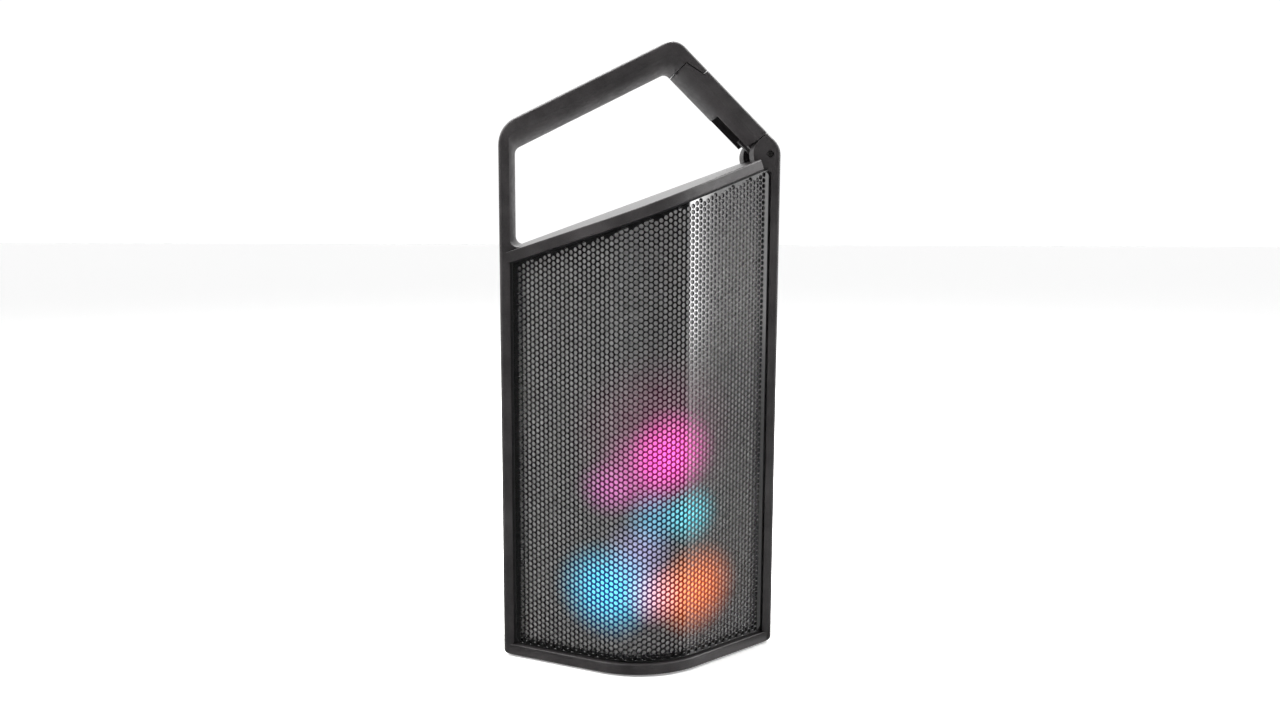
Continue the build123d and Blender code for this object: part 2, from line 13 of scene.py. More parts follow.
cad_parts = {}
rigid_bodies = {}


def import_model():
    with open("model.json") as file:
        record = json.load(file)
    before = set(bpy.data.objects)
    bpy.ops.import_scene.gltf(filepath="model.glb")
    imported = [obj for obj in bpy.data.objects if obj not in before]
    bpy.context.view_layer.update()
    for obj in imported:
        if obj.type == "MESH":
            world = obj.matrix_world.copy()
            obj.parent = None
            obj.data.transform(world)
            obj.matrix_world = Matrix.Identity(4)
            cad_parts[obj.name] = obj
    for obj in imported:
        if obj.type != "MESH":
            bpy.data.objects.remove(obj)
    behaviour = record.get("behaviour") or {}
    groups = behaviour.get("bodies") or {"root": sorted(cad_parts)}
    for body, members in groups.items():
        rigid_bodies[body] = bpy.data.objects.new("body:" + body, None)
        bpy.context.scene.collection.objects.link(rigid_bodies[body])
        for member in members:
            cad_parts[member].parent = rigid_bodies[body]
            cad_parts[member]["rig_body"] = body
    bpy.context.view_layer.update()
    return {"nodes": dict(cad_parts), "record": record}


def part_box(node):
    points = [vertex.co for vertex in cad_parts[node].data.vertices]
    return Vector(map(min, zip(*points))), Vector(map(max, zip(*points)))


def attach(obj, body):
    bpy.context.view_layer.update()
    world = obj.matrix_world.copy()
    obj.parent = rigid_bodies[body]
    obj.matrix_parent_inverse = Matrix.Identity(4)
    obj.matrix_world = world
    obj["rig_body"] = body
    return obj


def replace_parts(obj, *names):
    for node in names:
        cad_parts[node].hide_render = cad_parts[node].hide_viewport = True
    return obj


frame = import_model()
mm = 0.001


# ---------------------------------------------------------------- camera, floor and light
def place_camera():
    """Camera on a tripod, a little left of the speaker, looking slightly right and down."""
    yaw, pitch, roll = 0.137, 0.1219, 0.0044
    forward = Vector((math.sin(yaw) * math.cos(pitch), math.cos(yaw) * math.cos(pitch), -math.sin(pitch)))
    right = Vector((math.cos(yaw), -math.sin(yaw), 0))
    up = right.cross(forward)
    right_rolled = right * math.cos(roll) + up * math.sin(roll)
    up_rolled = up * math.cos(roll) - right * math.sin(roll)
    data = bpy.data.cameras.new("camera")
    data.lens = 28.68
    data.sensor_width = 36.0
    data.clip_start = 0.01
    camera = bpy.data.objects.new("camera", data)
    turn = Matrix((right_rolled, up_rolled, -forward)).transposed()
    camera.matrix_world = Matrix.Translation((-0.06415, -0.4589, 0.1956)) @ turn.to_4x4()
    bpy.context.scene.collection.objects.link(camera)
    bpy.context.scene.camera = camera


def lay_floor():
    """Plain pale studio floor, one large quad."""
    half = 20.0
    data = bpy.data.meshes.new("floor")
    corners = [(-half, -half, 0), (half, -half, 0), (half, half, 0), (-half, half, 0)]
    data.from_pydata(corners, [], [(0, 1, 2, 3)])
    floor = bpy.data.objects.new("floor", data)
    bpy.context.scene.collection.objects.link(floor)
    mat = bpy.data.materials.new("studio_floor")
    mat.use_nodes = True
    shader = mat.node_tree.nodes["Principled BSDF"]
    shader.inputs["Base Color"].default_value = (0.93, 0.93, 0.93, 1)
    shader.inputs["Roughness"].default_value = 0.6
    shader.inputs["Emission Color"].default_value = (1, 1, 1, 1)
    shader.inputs["Emission Strength"].default_value = 0.25
    floor.visible_glossy = False
    data.materials.append(mat)


def area_light(name, place, size_x, size_y, power):
    """Soft rectangular light, aimed at the middle of the speaker."""
    data = bpy.data.lights.new(name, "AREA")
    data.shape = "RECTANGLE"
    data.size = size_x
    data.size_y = size_y
    data.energy = power
    light = bpy.data.objects.new(name, data)
    away = (Vector(place) - light_target).normalized()
    light.matrix_world = Matrix.Translation(place) @ away.to_track_quat("Z", "Y").to_matrix().to_4x4()
    light.visible_camera = False
    bpy.context.scene.collection.objects.link(light)
    return light


def ramp_of(nodes, links, value, low, high, stops):
    """Grey value that follows (place, brightness) stops, linearly between them."""
    share = nodes.new("ShaderNodeMapRange")
    share.inputs["From Min"].default_value = low
    share.inputs["From Max"].default_value = high
    links.new(value, share.inputs["Value"])
    ramp = nodes.new("ShaderNodeValToRGB")
    band = ramp.color_ramp
    while len(band.elements) < len(stops):
        band.elements.new(0.5)
    for element, (place, grey) in zip(band.elements, stops):
        element.position = (place - low) / (high - low)
        element.color = (grey, grey, grey, 1)
    links.new(share.outputs[0], ramp.inputs[0])
    return ramp.outputs["Color"]


def studio_world():
    """White room with a dark front and one bright upright softbox on the right.

    Brightness is room(bearing) + softbox(bearing) * reach(elevation), where the bearing is
    atan2(x, -y) in degrees, 0 straight ahead of the speaker's front, and the elevation is asin(z).
    Past the softbox's full brightness there is a faint tail.  The backdrop itself is plain white.
    """
    world = bpy.data.worlds.new("studio")
    world.use_nodes = True
    nodes, links = world.node_tree.nodes, world.node_tree.links
    nodes.clear()

    def math_node(operation, first, second=None):
        made = nodes.new("ShaderNodeMath")
        made.operation = operation
        for socket, value in zip(made.inputs, (first, second)):
            if isinstance(value, (int, float)):
                socket.default_value = value
            elif value is not None:
                links.new(value, socket)
        return made.outputs[0]

    coords = nodes.new("ShaderNodeTexCoord")
    split = nodes.new("ShaderNodeSeparateXYZ")
    links.new(coords.outputs["Generated"], split.inputs[0])
    bearing = math_node("ARCTAN2", split.outputs["X"], math_node("MULTIPLY", split.outputs["Y"], -1))
    bearing = math_node("DEGREES", bearing)
    elevation = math_node("DEGREES", math_node("ARCSINE", split.outputs["Z"]))
    room = ramp_of(nodes, links, bearing, -180, 180, room_stops)
    softbox = ramp_of(nodes, links, bearing, -180, 180, softbox_stops)
    reach = ramp_of(nodes, links, elevation, -90, 90, softbox_reach)
    bright = math_node("MULTIPLY", math_node("MULTIPLY", softbox, reach), softbox_strength)
    total = math_node("ADD", math_node("MULTIPLY", room, room_strength), bright)
    room_light = nodes.new("ShaderNodeBackground")
    links.new(total, room_light.inputs["Color"])
    backdrop = nodes.new("ShaderNodeBackground")
    backdrop.inputs["Color"].default_value = (1, 1, 1, 1)
    backdrop.inputs["Strength"].default_value = 1.05
    path = nodes.new("ShaderNodeLightPath")
    mix = nodes.new("ShaderNodeMixShader")
    links.new(path.outputs["Is Camera Ray"], mix.inputs[0])
    links.new(room_light.outputs[0], mix.inputs[1])
    links.new(backdrop.outputs[0], mix.inputs[2])
    out = nodes.new("ShaderNodeOutputWorld")
    links.new(mix.outputs[0], out.inputs["Surface"])
    bpy.context.scene.world = world


# Stops are (bearing or elevation in degrees, brightness).
light_target = Vector((0, 0, 0.15))
room_strength = 1.15
room_stops = [(-180, 1.0), (-100, 0.9), (-86, 0.03), (60, 0.03), (80, 0.25), (100, 0.9), (180, 1.0)]
softbox_strength = 10.5
softbox_stops = [(-180, 0), (60, 0), (62, 1), (75.0, 1), (75.4, 0.13), (79, 0.12), (95, 0.09), (96, 0)]
softbox_reach = [(-90, 0), (-20, 0.06), (-10, 0.15), (-7, 0.35), (-4, 1), (25, 1), (35, 0)]
place_camera()
lay_floor()
studio_world()
bpy.context.scene.view_settings.view_transform = "Standard"
area_light("overhead_softbox", (-0.15, 0.25, 1.0), 1.4, 0.7, 32)
area_light("right_softbox", (0.75, 0.15, 0.75), 0.35, 0.35, 7)
fill = area_light("left_softbox", (-1.0, -0.1, 0.6), 0.5, 0.7, 15)
fill.visible_glossy = False


# ---------------------------------------------------------------- materials
class Finish:
    """A node material with a Principled shader and a few ways to wire detail into it."""

    def __init__(self, name, colour, roughness, **sockets):
        self.material = bpy.data.materials.new(name)
        self.material.use_nodes = True
        self.tree = self.material.node_tree
        self.shader = self.tree.nodes["Principled BSDF"]
        self.shader.inputs["Base Color"].default_value = (*colour, 1)
        self.shader.inputs["Roughness"].default_value = roughness
        for socket, value in sockets.items():
            self.shader.inputs[socket.replace("_", " ")].default_value = value
        self.coords = self.node("ShaderNodeTexCoord").outputs["Object"]

    def node(self, kind, **values):
        """New node of a kind, with its settings."""
        made = self.tree.nodes.new(kind)
        for key, value in values.items():
            setattr(made, key, value)
        return made

    def link(self, start, end):
        """Wire from one socket to another."""
        self.tree.links.new(start, end)

    def noise(self, size, detail=2.0, rough=0.5):
        """Noise whose grain is about size metres across."""
        made = self.node("ShaderNodeTexNoise")
        made.inputs["Scale"].default_value = 1 / size
        made.inputs["Detail"].default_value = detail
        made.inputs["Roughness"].default_value = rough
        self.link(self.coords, made.inputs["Vector"])
        return made.outputs["Fac"]

    def spread(self, value, low, high, start=0.35, end=0.65):
        """Value taken from start..end to low..high."""
        made = self.node("ShaderNodeMapRange")
        for socket, number in zip(("From Min", "From Max", "To Min", "To Max"), (start, end, low, high)):
            made.inputs[socket].default_value = number
        self.link(value, made.inputs["Value"])
        return made.outputs["Result"]

    def tone(self, value, dark, light):
        """Base colour from dark to light by value."""
        mix = self.node("ShaderNodeMix", data_type="RGBA")
        mix.inputs["A"].default_value = (*dark, 1)
        mix.inputs["B"].default_value = (*light, 1)
        self.link(value, mix.inputs["Factor"])
        self.link(mix.outputs["Result"], self.shader.inputs["Base Color"])

    def bump(self, height, strength, distance):
        """Bump by height, chained after any earlier bump."""
        made = self.node("ShaderNodeBump")
        made.inputs["Strength"].default_value = strength
        made.inputs["Distance"].default_value = distance
        self.link(height, made.inputs["Height"])
        socket = self.shader.inputs["Normal"]
        if socket.is_linked:
            self.link(socket.links[0].from_socket, made.inputs["Normal"])
        self.link(made.outputs["Normal"], socket)

    def rough(self, value):
        """Roughness that follows a value."""
        self.link(value, self.shader.inputs["Roughness"])


def moulded_plastic(name, dark, light, grain=0.45 * mm, depth=0.03 * mm, gloss=0.5):
    """Spark-eroded mould texture: fine grain in the bump, slow cloudiness in colour and gloss.

    Faces that look up carry a polish, so their roughness drops towards 0.3 with the normal's height.
    """
    finish = Finish(name, dark, gloss, Specular_IOR_Level=0.5)
    cloud = finish.noise(14 * mm, 3)
    speckle = finish.noise(grain, 1.0)
    both = finish.node("ShaderNodeMath", operation="MULTIPLY_ADD")
    finish.link(speckle, both.inputs[0])
    both.inputs[1].default_value = 0.6
    finish.link(cloud, both.inputs[2])
    finish.tone(finish.spread(both.outputs[0], 0, 1, 0.6, 1.0), dark, light)
    finish.bump(speckle, 0.6, depth)
    facing = finish.node("ShaderNodeSeparateXYZ")
    finish.link(finish.node("ShaderNodeTexCoord").outputs["Normal"], facing.inputs[0])
    upward = finish.spread(facing.outputs["Z"], 0, 1, 0.88, 0.93)
    polish = finish.node("ShaderNodeMix", data_type="FLOAT")
    finish.link(upward, polish.inputs["Factor"])
    finish.link(finish.spread(finish.noise(3 * mm, 4), gloss - 0.05, gloss + 0.08), polish.inputs["A"])
    polish.inputs["B"].default_value = 0.3
    finish.rough(polish.outputs["Result"])
    return finish.material


def rubber(name, dark, light):
    """Soft rubber with a powdery fine grain."""
    finish = Finish(name, dark, 0.7)
    finish.tone(finish.noise(2 * mm, 5), dark, light)
    finish.bump(finish.noise(0.12 * mm, 2), 0.4, 0.01 * mm)
    finish.rough(finish.spread(finish.noise(1 * mm, 3), 0.6, 0.8))
    return finish.material


def gloss_plastic(name, dark, light, coat=1.0):
    """Polished plastic: faint orange peel under a clear gloss."""
    finish = Finish(name, dark, 0.16, Coat_Weight=coat, Coat_Roughness=0.04)
    finish.tone(finish.noise(9 * mm, 3), dark, light)
    finish.bump(finish.noise(1.6 * mm, 2), 0.08, 0.01 * mm)
    return finish.material


def turned_steel(name, colour, gloss=0.25):
    """Drawn steel: metallic, with fine scratches stretched front to back."""
    finish = Finish(name, colour, gloss, Metallic=1.0)
    stretch = finish.node("ShaderNodeMapping")
    stretch.inputs["Scale"].default_value = (1, 0.05, 1)
    finish.link(finish.coords, stretch.inputs["Vector"])
    finish.coords = stretch.outputs["Vector"]
    finish.rough(finish.spread(finish.noise(0.15 * mm, 3), gloss - 0.1, gloss + 0.12))
    finish.bump(finish.noise(0.1 * mm, 2), 0.15, 0.005 * mm)
    return finish.material


# Coloured lights behind the diffuser: (x, z), reach in mm, glow painted on the sheet and on the grille.
glow_spots = [
    ((11.0, 100.0), 23.0, (1.15, 0.03, 0.66), (0.26, 0.000, 0.100)),
    ((5.0, 108.0), 42.0, (0.10, 0.00, 0.04), (0.035, 0.000, 0.014)),
    ((-3.0, 92.0), 23.0, (0.40, 0.02, 0.26), (0.10, 0.000, 0.045)),
    ((-18.0, 84.0), 15.0, (0.38, 0.02, 0.29), (0.06, 0.000, 0.035)),
    ((20.0, 71.0), 16.0, (0.00, 0.72, 0.86), (0.00, 0.070, 0.100)),
    ((3.0, 71.0), 17.0, (0.00, 0.34, 0.48), (0.00, 0.022, 0.060)),
    ((-4.0, 55.0), 19.0, (0.28, 0.26, 0.50), (0.020, 0.012, 0.050)),
    ((-17.5, 38.0), 25.0, (0.00, 0.86, 1.10), (0.00, 0.060, 0.260)),
    ((3.5, 36.0), 17.0, (0.85, 0.42, 0.55), (0.090, 0.006, 0.030)),
    ((22.5, 36.0), 24.0, (1.30, 0.34, 0.00), (0.380, 0.026, 0.000)),
]


def add_glow(finish, column):
    """Emission that is the sum of round spots, each falling off smoothly with distance in X and Z.

    A spot is its colour times the smoothed fraction of its reach that is left; column 2 is the
    glow painted on the diffuser, column 3 the glow painted on the grille.
    """
    flat = finish.node("ShaderNodeVectorMath", operation="MULTIPLY")
    flat.inputs[1].default_value = (1, 0, 1)
    finish.link(finish.coords, flat.inputs[0])
    total = None
    for spot in glow_spots:
        (x, z), reach = spot[:2]
        away = finish.node("ShaderNodeVectorMath", operation="DISTANCE")
        away.inputs[1].default_value = (x * mm, 0, z * mm)
        finish.link(flat.outputs[0], away.inputs[0])
        fall = finish.node("ShaderNodeMapRange", interpolation_type="SMOOTHSTEP")
        fall.inputs["From Min"].default_value = reach * mm
        fall.inputs["From Max"].default_value = 0
        finish.link(away.outputs["Value"], fall.inputs["Value"])
        part = finish.node("ShaderNodeVectorMath", operation="SCALE")
        part.inputs[0].default_value = spot[column]
        finish.link(fall.outputs["Result"], part.inputs["Scale"])
        if total is None:
            total = part.outputs[0]
        else:
            both = finish.node("ShaderNodeVectorMath", operation="ADD")
            finish.link(total, both.inputs[0])
            finish.link(part.outputs[0], both.inputs[1])
            total = both.outputs[0]
    finish.link(total, finish.shader.inputs["Emission Color"])
    finish.shader.inputs["Emission Strength"].default_value = 1.0


def grille_paint():
    """Gloss black enamel on perforated steel, with faint coloured glow painted where the lights shine."""
    finish = Finish("gloss_black_grille", (0.003, 0.003, 0.003), 0.12, Specular_IOR_Level=1.0)
    finish.shader.inputs["Coat Weight"].default_value = 0.8
    finish.shader.inputs["Coat Roughness"].default_value = 0.04
    finish.bump(finish.noise(1.5 * mm, 2), 0.05, 0.01 * mm)
    finish.rough(finish.spread(finish.noise(5 * mm, 3), 0.05, 0.08))
    # painted glow: coloured emission on the enamel stands in for the lights' spill on the grille
    add_glow(finish, 3)
    return finish.material


def diffuser_sheet():
    """Milky sheet that glows in coloured spots."""
    finish = Finish("milky_diffuser", (0.50, 0.50, 0.50), 0.5)
    finish.tone(finish.noise(2 * mm, 3), (0.48, 0.47, 0.472), (0.53, 0.52, 0.522))
    finish.bump(finish.noise(0.3 * mm, 2), 0.2, 0.01 * mm)
    # painted glow: coloured emission in the sheet stands in for the lights behind it
    add_glow(finish, 2)
    return finish.material


# ---------------------------------------------------------------- mesh helpers
def piece_from(name, points, faces, material, body, smooth_angle=30.0):
    """Object from arrays of points (metres) and faces, smooth except at edges over smooth_angle."""
    data = bpy.data.meshes.new(name)
    data.from_pydata(np.asarray(points, float).tolist(), [], [list(f) for f in faces])
    return finish_piece(name, data, material, body, smooth_angle)


def quads_piece(name, points, quads, material, body, smooth_angle, rings):
    """Object from whole arrays of points and quads, put into the mesh with foreach_set.

    An edge is also sharp where both its points lie in the same one of the given index ranges.
    """
    count = len(quads)
    data = bpy.data.meshes.new(name)
    data.vertices.add(len(points))
    data.vertices.foreach_set("co", np.asarray(points, np.float32).ravel())
    data.loops.add(count * 4)
    data.loops.foreach_set("vertex_index", np.asarray(quads, np.int32).ravel())
    data.polygons.add(count)
    data.polygons.foreach_set("loop_start", np.arange(0, count * 4, 4, dtype=np.int32))
    data.update(calc_edges=True)
    piece = finish_piece(name, data, material, body, smooth_angle)
    ends = np.empty(len(data.edges) * 2, np.int32)
    data.edges.foreach_get("vertices", ends)
    ends = ends.reshape(-1, 2)
    sharp = np.zeros(len(ends), bool)
    data.edges.foreach_get("use_edge_sharp", sharp)
    for start, stop in rings:
        sharp |= ((ends >= start) & (ends < stop)).all(1)
    data.edges.foreach_set("use_edge_sharp", sharp)
    data.update()
    return piece


def finish_piece(name, data, material, body, smooth_angle):
    """Object of a filled mesh with its material, shaded smooth with sharp edges, riding a body."""
    data.materials.append(material)
    data.polygons.foreach_set("use_smooth", np.ones(len(data.polygons), bool))
    data.set_sharp_from_angle(angle=math.radians(smooth_angle))
    data.validate()
    piece = bpy.data.objects.new(name, data)
    bpy.context.scene.collection.objects.link(piece)
    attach(piece, body)
    return piece


def smooth_copy(node, name, material, smooth_angle=28.0):
    """Merged copy of a CAD node with smooth shading over its rounded faces."""
    source = frame["nodes"][node]
    data = source.data.copy()
    work = bmesh.new()
    work.from_mesh(data)
    bmesh.ops.remove_doubles(work, verts=work.verts, dist=0.5e-6)
    bmesh.ops.dissolve_limit(work, angle_limit=math.radians(0.3), verts=work.verts, edges=work.edges)
    work.to_mesh(data)
    work.free()
    data.materials.clear()
    piece = finish_piece(name, data, material, source["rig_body"], smooth_angle)
    weigh = piece.modifiers.new("weighted_normals", "WEIGHTED_NORMAL")
    weigh.keep_sharp = True
    weigh.weight = 100
    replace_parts(piece, node)


# ---------------------------------------------------------------- perforated grille
grille_low, grille_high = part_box("front_grille")
flank = math.radians(32.0)
bend_radius = 40.6 * mm
bend_centre_y = grille_low.y + bend_radius
sheet_thick = 0.8 * mm
sheet_end = bend_radius * flank + (grille_high.x - bend_radius * math.sin(flank)) / math.cos(flank)
top_height = 204.2 * mm  # of the top edge at x = 0 and y = top_front
top_rise = 0.369  # towards +X
top_lean = 0.0314  # towards the back
top_front = 1.5 * mm
hole_pitch = 2.5 * mm
hole_radius = 0.97 * mm
hole_lip = 0.15 * mm
lip_slope = 0.8
edge_margin = hole_radius + hole_lip + 0.05 * mm
edge_reach = 2.6 * mm
merge_step = 0.011 * mm  # points that round to the same step are one point
ring_turn = np.arange(12) * math.pi / 6
column_step = hole_pitch * math.sqrt(3) / 2
last_column = int(math.ceil(sheet_end / column_step))


def grille_point(s, z, depth):
    """Point of the V sheet: an arc over the nose, then straight flanks, s along it, depth inwards."""
    turn = np.clip(s / bend_radius, -flank, flank)
    beyond = s - turn * bend_radius
    radius = bend_radius - depth
    x = radius * np.sin(turn) + beyond * np.cos(turn)
    y = bend_centre_y - radius * np.cos(turn) + beyond * np.sin(turn)
    return np.stack([x, y, z], axis=-1)


def grille_top(s):
    """Height of the sheet's sloping top edge at s."""
    place = grille_point(s, np.zeros_like(s), 0.0)
    return top_height + top_rise * place[..., 0] + top_lean * (place[..., 1] - top_front)


def lone_sides(corner):
    """Point pairs of the cell sides that belong to only one cell, in the cell's own order."""
    sides = np.stack([corner, np.roll(corner, -1, axis=1)], -1).reshape(-1, 2)
    _, back_to, uses = np.unique(np.sort(sides, axis=1), axis=0, return_inverse=True, return_counts=True)
    return sides[uses[back_to.ravel()] == 1]


def sheet_cells():
    """The whole sheet as hexagonal cells in (s, z), one round hole in the middle of each.

    Holes stand in upright columns on a 60 degree pattern.  A cell has 12 outer points, its corners
    and the middles of its sides, shared with its neighbours.  Only cells whose hole fits inside the
    sheet are kept, and the outline points of what is left are drawn out to the sheet's nearer edge,
    one of them at each corner to the corner itself.
    """
    columns = np.arange(-last_column, last_column + 1)
    rows = np.arange(0, int((grille_high.z - grille_low.z) / hole_pitch) + 2)
    column, row = (grid.ravel() for grid in np.meshgrid(columns, rows, indexing="ij"))
    cs = column * column_step
    cz = grille_low.z + (row + 0.5 * (column % 2)) * hole_pitch
    gap = np.minimum(np.minimum(cz - grille_low.z, grille_top(cs) - cz), sheet_end - np.abs(cs))
    kept = gap > edge_margin
    column, cs, cz = column[kept], cs[kept], cz[kept]
    cell_radius = np.where(np.arange(12) % 2 == 0, hole_pitch / math.sqrt(3), hole_pitch / 2)
    s = (cs[:, None] + cell_radius * np.cos(ring_turn)).ravel()
    z = (cz[:, None] + cell_radius * np.sin(ring_turn)).ravel()
    keys = np.round(np.stack([s, z - grille_low.z], -1) / merge_step).astype(np.int64)
    _, first_use, shared = np.unique(keys, axis=0, return_index=True, return_inverse=True)
    corner = shared.reshape(-1, 12)
    s, z = s[first_use], z[first_use]
    outline = np.unique(lone_sides(corner))
    side_gap = sheet_end - np.abs(s[outline])
    low_gap, top_gap = z[outline] - grille_low.z, grille_top(s[outline]) - z[outline]
    end_gap = np.minimum(low_gap, top_gap)
    by_corner = (side_gap < edge_reach) & (end_gap < edge_reach)
    at_side = (side_gap < edge_reach) & ~(by_corner & (end_gap < side_gap))
    at_end = (end_gap < edge_reach) & ~(by_corner & (side_gap <= end_gap))
    for right in (False, True):
        for top in (False, True):
            group = np.flatnonzero(by_corner & ((s[outline] > 0) == right) & ((top_gap < low_gap) == top))
            nearest = group[np.argmin(side_gap[group] + end_gap[group])]
            at_side[nearest] = at_end[nearest] = True
    s[outline[at_side]] = np.sign(s[outline[at_side]]) * sheet_end
    low, high = outline[at_end & (low_gap < top_gap)], outline[at_end & (low_gap >= top_gap)]
    z[low] = grille_low.z
    z[high] = grille_top(s[high])
    return column, cs, cz, corner, s, z


def grille_part(name, chosen, cells, material):
    """The chosen cells of the sheet, each with a lip round its hole and a wall to the sheet's back.

    Rings of 12 points: the cell's side, the lip's start, the hole's edge a little lower, the hole at
    the back, and the cell's side at the back.  Sides that only one cell has get a wall of their own.
    """
    _, cs, cz, corner, flat_s, flat_z = cells
    cs, cz = cs[chosen], cz[chosen]
    used, corner = np.unique(corner[chosen], return_inverse=True)
    corner = corner.reshape(-1, 12)
    flat_s, flat_z = flat_s[used], flat_z[used]
    n_flat, n_ring = len(used), len(cs) * 12

    def ring(radius, depth):
        s = cs[:, None] + radius * np.cos(ring_turn)
        z = cz[:, None] + radius * np.sin(ring_turn)
        return grille_point(s, z, depth).reshape(-1, 3)

    points = np.concatenate([
        grille_point(flat_s, flat_z, 0.0),
        grille_point(flat_s, flat_z, sheet_thick),
        ring(hole_radius + hole_lip, 0.0),
        ring(hole_radius, hole_lip * lip_slope),
        ring(hole_radius, sheet_thick),
    ])
    own = np.arange(n_ring).reshape(-1, 12)
    lip, edge, rear = (2 * n_flat + k * n_ring + own for k in range(3))

    def strip(outer, inner):
        a, b = outer, np.roll(outer, -1, axis=1)
        c, d = np.roll(inner, -1, axis=1), inner
        return np.stack([a, b, c, d], -1).reshape(-1, 4)

    a, b = lone_sides(corner).T
    walls = np.stack([b, a, a + n_flat, b + n_flat], -1)
    quads = np.concatenate([
        strip(corner, lip), strip(lip, edge), strip(edge, rear), strip(rear, corner + n_flat), walls,
    ])
    lip_range = (2 * n_flat, 2 * n_flat + n_ring)
    return quads_piece(name, points, quads, material, "speaker", 70.0, [lip_range])


grille_material = grille_paint()
cells = sheet_cells()
third = last_column // 3
for name, first, last in (
    ("grille_left_flank", -last_column, -third - 1),
    ("grille_nose", -third, third),
    ("grille_right_flank", third + 1, last_column),
):
    chosen = (cells[0] >= first) & (cells[0] <= last)
    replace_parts(grille_part(name, chosen, cells, grille_material), "front_grille")


# ---------------------------------------------------------------- hinge pin and spring
def tube_along(path, radius, sides=12):
    """Round wire: a circle carried along a path, closed by a point at each end.

    The circle's axes at each station are kept as parallel as they can be to the station before,
    by taking away what lies along the path.
    """
    path = np.asarray(path, float)
    along = np.gradient(path, axis=0)
    along /= np.linalg.norm(along, axis=1)[:, None]
    side = np.cross(along[0], (0.31, 0.83, 0.46))  # any direction off the path
    sides_list = []
    for direction in along:
        side = side - direction * np.dot(side, direction)
        side /= np.linalg.norm(side)
        sides_list.append(side)
    across = np.array(sides_list)
    upward = np.cross(along, across)
    turn = np.arange(sides) * 2 * math.pi / sides
    rings = (path[:, None] + radius * (np.cos(turn)[None, :, None] * across[:, None]
                                       + np.sin(turn)[None, :, None] * upward[:, None]))
    return closed_rings(rings)


def closed_rings(rings):
    """Points and faces of a skin over a stack of rings, each end closed by a fan to its middle."""
    count, sides = rings.shape[:2]
    points = np.concatenate([rings.reshape(-1, 3), rings[0].mean(0)[None], rings[-1].mean(0)[None]])
    i, j = np.meshgrid(np.arange(count - 1), np.arange(sides), indexing="ij")
    k = (j + 1) % sides
    quads = np.stack([i * sides + j, i * sides + k, (i + 1) * sides + k, (i + 1) * sides + j], -1)
    quads = quads.reshape(-1, 4)
    around, after = np.arange(sides), (np.arange(sides) + 1) % sides
    first, last = count * sides, count * sides + 1
    foot = np.stack([np.full(sides, first), after, around], -1)
    head = np.stack([np.full(sides, last), (count - 1) * sides + around, (count - 1) * sides + after], -1)
    return points, quads.tolist() + foot.tolist() + head.tolist()


def turned_pin(axis_x, axis_z, profile, sides=40):
    """Turned part about a front-to-back axis: each (radius, y) of the profile is a ring."""
    turn = np.arange(sides) * 2 * math.pi / sides
    radius = np.array([p[0] for p in profile])[:, None]
    depth = np.array([p[1] for p in profile])[:, None]
    rings = np.stack([axis_x + radius * np.cos(turn), depth + 0 * turn, axis_z + radius * np.sin(turn)], -1)
    return closed_rings(rings[:, ::-1])


pin_low, pin_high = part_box("hinge_pin")
pin_x, pin_z = (pin_low.x + pin_high.x) / 2, (pin_low.z + pin_high.z) / 2
pin_r = (pin_high.x - pin_low.x) / 2
steel = turned_steel("bright_steel", (0.66, 0.65, 0.64), 0.18)
pin_end = pin_low.y - 0.6 * mm
pin_profile = [(0.05 * mm, pin_end + 1.5 * mm), (pin_r - 0.25 * mm, pin_end), (pin_r - 0.12 * mm, pin_end)]
pin_profile += [(pin_r, pin_end + 0.12 * mm), (pin_r, pin_high.y - 0.2 * mm), (pin_r - 0.2 * mm, pin_high.y)]
pin_points, pin_faces = turned_pin(pin_x, pin_z, pin_profile)
pin_piece = piece_from("hinge_pin_turned", pin_points, pin_faces, steel, "speaker", 35.0)
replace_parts(pin_piece, "hinge_pin")

spring_low, spring_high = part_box("gate_spring")
gate_along = np.array((0.7220, 0.0, -0.6919))
gate_inward = np.array((-0.6919, 0.0, -0.7220))
wire = 0.42 * mm
coil_radius = 2.35 * mm
coil_front, coil_back = spring_low.y + wire, spring_high.y - wire
coil_turns = 4.25


def spring_path():
    """Torsion spring: a helix about the pin, running out into a straight leg up the gate's pocket.

    The helix ends where its tangent points up the gate; the leg follows that tangent.
    """
    centre = np.array((pin_x, 0.0, pin_z))
    turn = np.linspace(-coil_turns * 2 * math.pi, 0, int(coil_turns * 28))
    depth = coil_front + (coil_back - coil_front) * (1 + turn / (coil_turns * 2 * math.pi))
    out = -gate_inward[None] * np.cos(turn)[:, None] - gate_along[None] * np.sin(turn)[:, None]
    coil = centre + coil_radius * out
    coil[:, 1] = depth
    leg_length = (pin_x - spring_low.x) / gate_along[0] - 1.5 * mm
    leg = coil[-1] - gate_along * np.linspace(0.4 * mm, leg_length, 14)[:, None]
    return np.concatenate([coil, leg])


spring_points, spring_faces = tube_along(spring_path(), wire)
spring_piece = piece_from("gate_spring_wire", spring_points, spring_faces, steel, "gate", 60.0)
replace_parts(spring_piece, "gate_spring")


